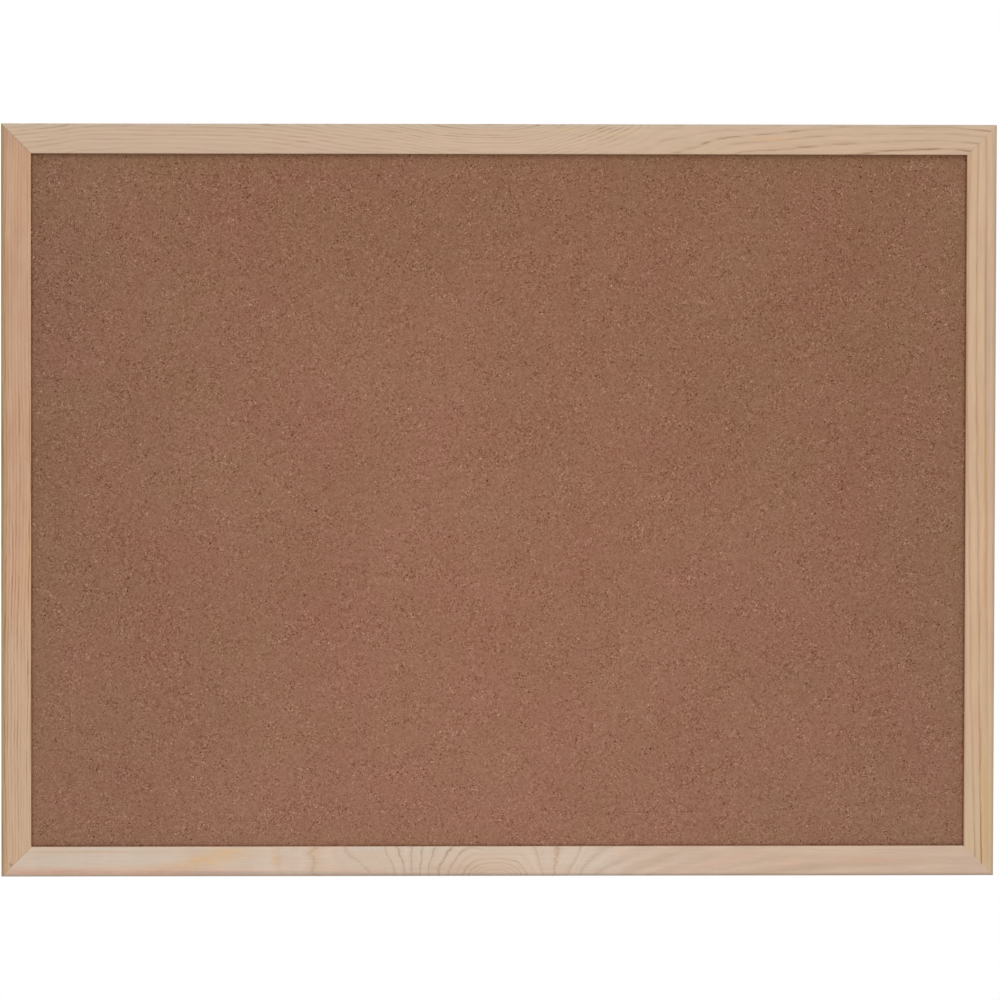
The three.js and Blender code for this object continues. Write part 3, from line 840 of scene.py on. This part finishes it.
def recessCutter(centre, top, turn):
    # The driver's cross as one block that narrows with its depth, carried on up past the head. Each level is
    # a plus sign of 12 points: one arm's three, and those turned by a quarter three times.
    s = screw
    floor, mouth = np.array(s["recessFloor"]) / 2, np.array(s["recessMouth"]) / 2
    above = mouth + (mouth - floor) * overrun / s["recessDepth"]
    quarterTurn = np.array([(0, 1), (-1, 0)])
    levels = []
    for (reach, half), y in ((above, top + overrun), (floor, top - s["recessDepth"])):
        arm = np.array([(reach, -half), (reach, half), (half, half)])
        cross = np.concatenate([arm @ np.linalg.matrix_power(quarterTurn, k) for k in range(4)])
        x, z = (cross @ np.array([(math.cos(turn), math.sin(turn)), (-math.sin(turn), math.cos(turn))])).T
        levels.append(np.stack([centre[0] + x, np.full_like(x, y), centre[2] + z], -1))
    return tube("recess", np.stack(levels))


hangerPieces = []
for side, joint in zip(sides, frame["joints"]):
    x = joint["pos_m"][0] / mm
    made = [
        (makeStrap(side, x), "board", f"hanger_strap_{side}"),
        (makeRing(side, x), f"{side}_ring", f"hanger_ring_{side}"),
    ]
    for place, turn in zip(screwPlaces, screw["turns"][side]):
        made.append((makeScrew(side, place, turn), "board", f"hanger_screw_{side}_{place}"))
    for piece, body, node in made:
        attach(piece, body)
        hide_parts(node)
        hangerPieces.append(piece)
print("hangers made:", {p.name: len(p.data.polygons) for p in hangerPieces})


# The panel: a cork face on a softboard core, with a kraft liner behind

panel = {
    "corkStep": 1.75,           # grid of the cork's face
    "corkWaves": (13, 29, 67, 140),
    "corkRise": 0.05,           # how far its face swells and dips
    "corkGrain": 0.035,         # and how rough it is from one grid point to the next
    "corkEdge": 6.0,            # the face comes level within this of the edge
    "linerStep": 3.5,
    "linerWaves": (38, 83, 170),
    "linerRise": 0.28,          # how far the liner bellies off the core
    "linerEdge": 22.0,
}


def waved(x, z, wavelengths, seed):
    # The mean of one plane wave for each wavelength, each in a direction drawn from the seed
    draws = np.random.default_rng(seed).uniform(0, fullTurn, (len(wavelengths), 2))
    waves = [
        np.sin(fullTurn * (x * np.cos(turn) + z * np.sin(turn)) / length + phase)
        for length, (turn, phase) in zip(wavelengths, draws)
    ]
    return sum(waves) / len(waves)


def makeSheet(name, step, facing, relief):
    # A closed sheet: its shown side is a grid raised by relief(x, z, distance to the edge), its hidden side a
    # flat fan
    low, high = boxOf(name)
    xs = np.linspace(low[0], high[0], round((high[0] - low[0]) / step) + 1)
    zs = np.linspace(low[2], high[2], round((high[2] - low[2]) / step) + 1)
    z, x = np.meshgrid(zs, xs, indexing="ij")
    inset = np.minimum.reduce([x - low[0], high[0] - x, z - low[2], high[2] - z])
    shown, hidden = (low[1], high[1]) if facing < 0 else (high[1], low[1])
    grid = np.stack([x, shown + facing * relief(x, z, inset), z], -1).reshape(-1, 3)
    number = np.arange(x.size).reshape(x.shape)
    edge = np.concatenate([number[0, :-1], number[:-1, -1], number[-1, :0:-1], number[:0:-1, 0]])
    rim = grid[edge] * (1, 0, 1) + (0, hidden, 0)
    middle = [[(low[0] + high[0]) / 2, hidden, (low[2] + high[2]) / 2]]
    count, start = len(edge), len(grid)
    following = (np.arange(count) + 1) % count
    walls = np.stack([edge, start + np.arange(count), start + following, edge[following]], -1).tolist()
    fan = [[start + i, start + count, start + int(following[i])] for i in range(count)]
    piece = closedMesh(name + "_laid", np.concatenate([grid, rim, middle]), gridFaces(*x.shape) + walls + fan)
    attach(piece, "board")
    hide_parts(name)
    return piece


def corkRelief(x, z, inset):
    # Slow swells and a fine grain, both gone at the edge that the frame holds
    p = panel
    grain = np.random.default_rng(5).uniform(-1, 1, x.shape)
    level = np.clip(inset / p["corkEdge"], 0, 1)
    return level * (p["corkRise"] * waved(x, z, p["corkWaves"], 3) + p["corkGrain"] * grain)


def linerRelief(x, z, inset):
    # Shallow cockles that rise from the core, by the square of a wave, and lie flat near the frame
    p = panel
    level = np.clip(inset / p["linerEdge"], 0, 1)
    return p["linerRise"] * level * level * (3 - 2 * level) * waved(x, z, p["linerWaves"], 8) ** 2


corkSheet = makeSheet("cork_sheet", panel["corkStep"], -1, corkRelief)
linerSheet = makeSheet("backing_liner", panel["linerStep"], 1, linerRelief)
print("panel made:", len(corkSheet.data.polygons), len(linerSheet.data.polygons))

# Cork: granules pressed together, each a tint of its own, with dark bark specks and pale flecks between

cork = {
    "olive": (140.0, 103.8, 78.2),
    "reddish": (143.2, 99.9, 79.4),
    "oneShade": (0.00435, 0.0030, 0.0023),   # one step of 255 in each channel, in linear light, near the body
    "bend": {"scale": 1.1, "detail": 1.0, "amounts": (0.5, 0.5, 0.5)},   # curves the granules' sides
    "granule": 1.15,           # mm across
    "crumb": 0.58,
    "clump": 3.2,
    "granuleShades": 10.5,
    "crumbShades": 41.0,
    "clumpShades": 1.5,
    "jointShades": 4.5,        # how dark the joints between granules are
    "jointWidth": 0.16,        # as a share of a granule
    "barkShades": 54.0,
    "fleckShades": 62.0,
    "barkShare": 0.07,         # of the crumbs
    "fleckShare": 0.07,
    "speckSpread": (0.1, 0.4),   # draws of a granule between which it comes to hold bark or flecks
    "quiet": 0.55,             # grain in the quietest parts, against the liveliest
    "quietLength": 11.0,
    "quietRange": (0.38, 0.62),
    "hueLength": 60.0,
    "hueRange": (0.30, 0.70),
    "mottleLength": 90.0,
    "mottleShades": 12.0,
    "lipShadowShades": 20.0,        # painted shade: darker along the frame's sides and bottom, where the lips meet the cork
    "lipShadowReach": 1.8,
    "rim": 14.0,               # how far from the frame the cork is calmer and more olive
    "rimCalm": 0.14,
    "rimOlive": 0.30,
    "lower": (0.0050, 0.0048, 0.0076),   # added in full at the bottom edge: partly painted light, lighter towards the bottom, and partly the cork's own tone
    "paintedLightUnderTop": {"reach": 2.4, "added": (0.045, 0.022, 0.008)},     # painted light: along the top rail the cork is lighter, against the lip's shadow
    "paintedShadeOverBottom": {"reach": 5.0, "added": (-0.024, -0.010, -0.002)},   # painted shade: and along the bottom rail darker and less red
    "paintedLightAndTone": [   # broad lighter and darker places, partly painted light of the lamps' falloff and partly the cork's own tone: x, z, their reaches, and what they add
        (0.0, -270.0, 225.0, 300.0, (0.0495, 0.0170, 0.0130)),
        (-118.0, -56.0, 95.0, 60.0, (0.0110, 0.0060, 0.0050)),
        (130.0, -10.0, 170.0, 110.0, (-0.0050, -0.0030, -0.0040)),
        (-290.0, -345.0, 70.0, 100.0, (0.0125, 0.0080, 0.0060)),
        (-290.0, 20.0, 55.0, 150.0, (-0.0100, -0.0045, 0.0010)),
    ],
    "roughness": (0.82, 0.97),
    "heights": {"granule": 0.5, "crumb": 0.3, "joint": 0.6, "bark": 0.35},
    "relief": 0.055,
}


def corkFinish():
    # Shades are added in steps of 255, so that a darker granule keeps its hue
    c = cork
    f = Finish(bpy.data.materials.new("cork"))
    place = f.place()
    bend = c["bend"]
    bending = f.node("ShaderNodeTexNoise", {}, {
        "Vector": place, "Scale": bend["scale"], "Detail": bend["detail"]}, "Color")
    bent = f.vectorMath("ADD", place, f.vectorMath("MULTIPLY", bending, bend["amounts"]))

    def cells(size, output="Color", feature="F1"):
        return f.node("ShaderNodeTexVoronoi", {"feature": feature}, {
            "Vector": bent, "Scale": 1 / size, "Randomness": 1.0}, output)

    def draws(size):
        # Three even draws from 0 to 1 for each cell
        split = f.node("ShaderNodeSeparateColor", {}, {0: cells(size)})
        return split, split.output("Green"), split.output("Blue")

    granuleTint, granuleKind, granuleHue = draws(c["granule"])
    crumbTint, crumbKind, crumbHue = draws(c["crumb"])
    clumpTint = draws(c["clump"])[0]
    joint = 1 - f.smooth(cells(c["granule"], "Distance", "DISTANCE_TO_EDGE"), 0.0, c["jointWidth"])
    bark = f.smooth(crumbKind, 1 - c["barkShare"], 1.0) * f.smooth(granuleKind, *c["speckSpread"])
    fleck = f.smooth(crumbHue, 1 - c["fleckShare"], 1.0) * f.smooth(granuleHue, *c["speckSpread"])
    shades = c["granuleShades"] * (granuleTint - 0.5) + c["crumbShades"] * (crumbTint - 0.5)
    shades = shades - c["jointShades"] * joint - c["barkShades"] * bark + c["fleckShades"] * fleck
    lively = f.smooth(f.noise(place, 1 / c["quietLength"]), *c["quietRange"])
    lively = c["quiet"] + (1 - c["quiet"]) * lively
    x, _, z = f.axes(place)
    sideways = halfWidth - faceWidth - abs(x)
    fromBottom = z - middleZ + halfHeight - faceWidth
    fromTop = middleZ + halfHeight - faceWidth - z
    lowSides = sideways.math("MINIMUM", fromBottom)
    rim = 1 - f.smooth(lowSides.math("MINIMUM", fromTop), 0.0, c["rim"])
    shades = shades * lively * (1 - c["rimCalm"] * rim) + c["clumpShades"] * (clumpTint - 0.5)
    shades = shades + c["mottleShades"] * (f.noise(place, 1 / c["mottleLength"], 4.0, 0.6) - 0.5)
    # Painted shade where the side and bottom lips meet the cork
    shades = shades - c["lipShadowShades"] * (1 - f.smooth(lowSides, 0.0, c["lipShadowReach"]))

    low, high = c["hueRange"]
    hue = (f.noise(place, 1 / c["hueLength"], 5.0, 0.74) - low) / (high - low) - c["rimOlive"] * rim
    body = f.mixed(hue, paint(*c["olive"]), paint(*c["reddish"]))
    # Painted light under the top rail and painted shade over the bottom rail
    for fromRail, edge in ((fromTop, c["paintedLightUnderTop"]), (fromBottom, c["paintedShadeOverBottom"])):
        share = 1 - f.smooth(fromRail, 0.0, edge["reach"])
        body = f.vectorMath("MULTIPLY_ADD", share, edge["added"], body)
    # Partly painted light: the broad lighter and darker places, with the cork's own tone
    for glowX, glowZ, *reach, added in c["paintedLightAndTone"]:
        body = f.vectorMath("MULTIPLY_ADD", f.bell(x - glowX, z - glowZ, reach), added, body)
    # Partly painted light: the cork lighter towards the bottom
    body = f.vectorMath("MULTIPLY_ADD", fromTop / (2 * (halfHeight - faceWidth)), c["lower"], body)
    colour = f.vectorMath("MULTIPLY_ADD", shades, c["oneShade"], body)
    amounts = c["heights"]
    height = amounts["granule"] * granuleTint + amounts["crumb"] * crumbTint
    height = height - amounts["joint"] * joint - amounts["bark"] * bark
    low, high = c["roughness"]
    return f.finish(colour, low + (high - low) * crumbTint, height, c["relief"], specular=0.2)


corkSheet.data.materials.append(corkFinish())

# Kraft paper, softboard and steel: noises laid over a body colour one after another. A layer is its noise's
# scales, detail and roughness, the values between which it shows, its share and its colour. Roughness is a
# start and a sum of amounts of the noises, or of a noise as it shows, and height is such a sum.

steel = {
    "spangle": (0.55, 3.0, 0.5, (0.35, 0.7), 1.0),
    "scratches": ((0.5, 0.5, 9.0), 3.0, 0.7, (0.5, 0.8), 0.4),
    "pits": (4.0, 2.0, 0.5, (0.62, 0.75), 0.35),
}
finishes = {
    "kraft_liner": {
        "body": (178, 143, 104),
        "layers": {
            "along": ((0.25, 2.6, 4.0), 3.0, 0.65, (0.35, 0.75), 0.5, (150, 113, 78)),
            "across": ((3.2, 2.6, 0.35), 3.0, 0.65, (0.45, 0.8), 0.45, (199, 168, 130)),
            "cloud": (0.05, 3.0, 0.5, (0.35, 0.7), 0.25, (150, 113, 78)),
            "fleck": (0.9, 2.0, 0.6, (0.66, 0.74), 0.5, (104, 76, 52)),
        },
        "roughness": (0.78, {"along": 0.14}), "height": {"along": 0.6, "across": 0.4}, "relief": 0.05,
        "metallic": 0.0, "specular": 0.25,
    },
    "softboard": {
        "body": (167, 140, 106),
        "layers": {
            "felt": ((0.6, 2.2, 1.1), 5.0, 0.7, (0.4, 0.75), 1.0, (118, 92, 64)),
            "clump": (0.35, 3.0, 0.5, (0.45, 0.75), 0.6, (198, 174, 140)),
        },
        "roughness": (0.86, {"felt": 0.12}), "height": {"felt": 1.0, "clump": 0.5}, "relief": 0.25,
        "metallic": 0.0, "specular": 0.15,
    },
    "plated_steel": {
        "body": (214, 216, 219),
        "layers": {
            "spangle": (*steel["spangle"], (206, 203, 188)),
            "scratches": (*steel["scratches"], (168, 171, 176)),
            "pits": (*steel["pits"], (168, 171, 176)),
        },
        "roughness": (0.2, {"scratches": 0.132, "spangle": 0.088, "pits shown": 0.12}),
        "height": {"scratches": 1.0, "pits shown": -1.0}, "relief": 0.012, "metallic": 1.0, "specular": 0.5,
    },
    "bare_steel": {
        "body": (150, 152, 156),
        "layers": {
            "spangle": (*steel["spangle"], (132, 126, 118)),
            "scratches": ((0.3, 0.3, 6.0), *steel["scratches"][1:], (104, 104, 106)),
            "pits": (*steel["pits"], (104, 104, 106)),
        },
        "roughness": (0.32, {"scratches": 0.138, "spangle": 0.092, "pits shown": 0.12}),
        "height": {"scratches": 1.0, "pits shown": -1.0}, "relief": 0.02, "metallic": 1.0, "specular": 0.5,
    },
}


def layeredFinish(name):
    look = finishes[name]
    f = Finish(bpy.data.materials.new(name))
    place = f.place()
    colour = paint(*look["body"])
    parts = {}
    for part, (scales, detail, roughness, edges, share, tint) in look["layers"].items():
        parts[part] = f.noise(place, scales, detail, roughness)
        parts[part + " shown"] = f.smooth(parts[part], *edges)
        colour = f.mixed(parts[part + " shown"] * share, colour, paint(*tint))

    def total(amounts):
        return sum(amount * parts[part] for part, amount in amounts.items())

    start, amounts = look["roughness"]
    return f.finish(colour, start + total(amounts), total(look["height"]), look["relief"],
                    look["metallic"], look["specular"])


linerSheet.data.materials.append(layeredFinish("kraft_liner"))
frame["nodes"]["core_board"].data.materials[0] = layeredFinish("softboard")
platedSteel, bareSteel = layeredFinish("plated_steel"), layeredFinish("bare_steel")
for piece in hangerPieces:
    piece.data.materials.clear()
    piece.data.materials.append(platedSteel)
for name, node in frame["nodes"].items():
    if name.startswith("v_nail"):
        node.data.materials[0] = bareSteel
print("panel and steel finished")


# Floor, light and camera

stage = {
    "floorDrop": 260.0,        # from the board's bottom edge down to the floor
    "floorRadius": 900.0,
    "floorSides": 96,
    "floorRings": 12,
    "floorPlain": 250.0,       # past this the floor fades into the white round it
    "floorLift": 0.6,          # what the camera sees added to the matt floor
    "floorColour": (0.5, 0.5, 0.495, 1),
    "skyAbove": 0.70,
    "skyBelow": 0.30,
    "skyBlend": 0.5,           # how far above and below level the sky changes from one to the other
}
lamps = {
    "key": {"direction": (0.12, -1.0, 0.72), "strength": 0.38, "size": 1900.0, "distance": 2600.0},
    "low": {"direction": (0.0, -1.0, -0.14), "strength": 0.16, "size": 800.0, "distance": 1300.0},
    "back": {"direction": (-0.35, 1.0, 0.45), "strength": 0.42, "size": 1500.0, "distance": 3000.0},
}


def paleFloor():
    # A disc under the board that takes its shadow, and fades to the white of the background further out
    s = stage
    turn = np.linspace(0, fullTurn, s["floorSides"] + 1)[:-1]
    rings = np.linspace(0, s["floorRadius"], s["floorRings"] + 1)[1:, None, None]
    circle = np.stack([np.cos(turn), np.sin(turn), 0 * turn], -1)[None]
    centre = np.array([(boardLow[0] + boardHigh[0]) / 2, 0, boardLow[2] - s["floorDrop"]])
    points = np.concatenate([(centre + circle * rings).reshape(-1, 3), [centre]])
    faces = gridFaces(len(rings), len(turn), closeColumns=True)
    faces += [[j, (j + 1) % len(turn), len(points) - 1] for j in range(len(turn))]
    floor = openMesh("floor", points, faces)
    floor.data.materials.append(floorFinish())


def floorFinish():
    # Matt near the board and white further out. What only the camera and gloss see is Emission, so it throws
    # no light on the board.
    s = stage
    f = Finish(bpy.data.materials.new("floor"))
    x, y, _ = f.axes(f.place())
    fade = f.smooth((x * x + y * y) ** 0.5, s["floorPlain"], s["floorRadius"])
    seen = f.seen()
    matt = f.node("ShaderNodeBsdfDiffuse", {}, {"Color": s["floorColour"]})
    lift = f.node("ShaderNodeEmission", {}, {"Strength": seen * s["floorLift"]})
    lifted = f.node("ShaderNodeAddShader", {}, {0: matt, 1: lift})
    white = f.node("ShaderNodeEmission", {}, {"Strength": 1.0})
    shown = f.node("ShaderNodeMixShader", {}, {0: seen * fade, 1: lifted, 2: white})
    f.node("ShaderNodeOutputMaterial", {}, {"Surface": shown})
    return f.owner


def makeLamp(name, direction, strength, size, distance):
    # An area lamp that looks at the board's middle. A matt face square to it gets irradiance
    # power / (pi * distance squared), which is pi at strength 1, and then renders as its own colour.
    away = Vector(direction).normalized()
    lamp = bpy.data.lights.new(name, "AREA")
    lamp.shape = "DISK"
    lamp.size = size * mm
    lamp.energy = strength * math.pi ** 2 * (distance * mm) ** 2
    lampObject = bpy.data.objects.new(name, lamp)
    lampObject.location = Vector((0, 0, middleZ * mm)) + away * distance * mm
    lampObject.rotation_euler = away.to_track_quat("Z", "Y").to_euler()
    lampObject.visible_camera = False
    bpy.context.scene.collection.objects.link(lampObject)


view = {
    "place": (-215.6, -5430.3, 150.4),
    "pitch": -3.041,         # degrees, with yaw and roll
    "yaw": -2.285,
    "roll": -0.131,
    "lens": 324.0,
    "sensor": 36.0,
}


def makeCamera():
    # Looking along +Y at first, then rolled, tipped and turned
    v = view
    camera = bpy.data.cameras.new("camera")
    camera.lens, camera.sensor_width = v["lens"], v["sensor"]
    cameraObject = bpy.data.objects.new("camera", camera)
    turned = Matrix.Rotation(quarter, 4, "X")
    for angle, axis in ((v["roll"], "Y"), (v["pitch"], "X"), (v["yaw"], "Z")):
        turned = Matrix.Rotation(math.radians(angle), 4, axis) @ turned
    cameraObject.matrix_world = Matrix.Translation(Vector(v["place"]) * mm) @ turned
    bpy.context.scene.collection.objects.link(cameraObject)
    bpy.context.scene.camera = cameraObject


def whiteRoundIt():
    # The world: white to the camera and to gloss, plain sky light to everything else
    f = Finish(bpy.data.worlds.new("studio"))
    bpy.context.scene.world = f.owner
    up = f.axes(f.node("ShaderNodeTexCoord", output="Generated"))[2]
    share = f.smooth(up, -stage["skyBlend"], stage["skyBlend"])
    sky = stage["skyBelow"] + (stage["skyAbove"] - stage["skyBelow"]) * share
    strength = sky + (1 - sky) * f.seen()
    light = f.node("ShaderNodeBackground", {}, {"Color": (1, 1, 1, 1), "Strength": strength})
    f.node("ShaderNodeOutputWorld", {}, {"Surface": light})


paleFloor()
whiteRoundIt()
for name, settings in lamps.items():
    makeLamp(name, **settings)
makeCamera()
bpy.context.scene.view_settings.view_transform = "Standard"
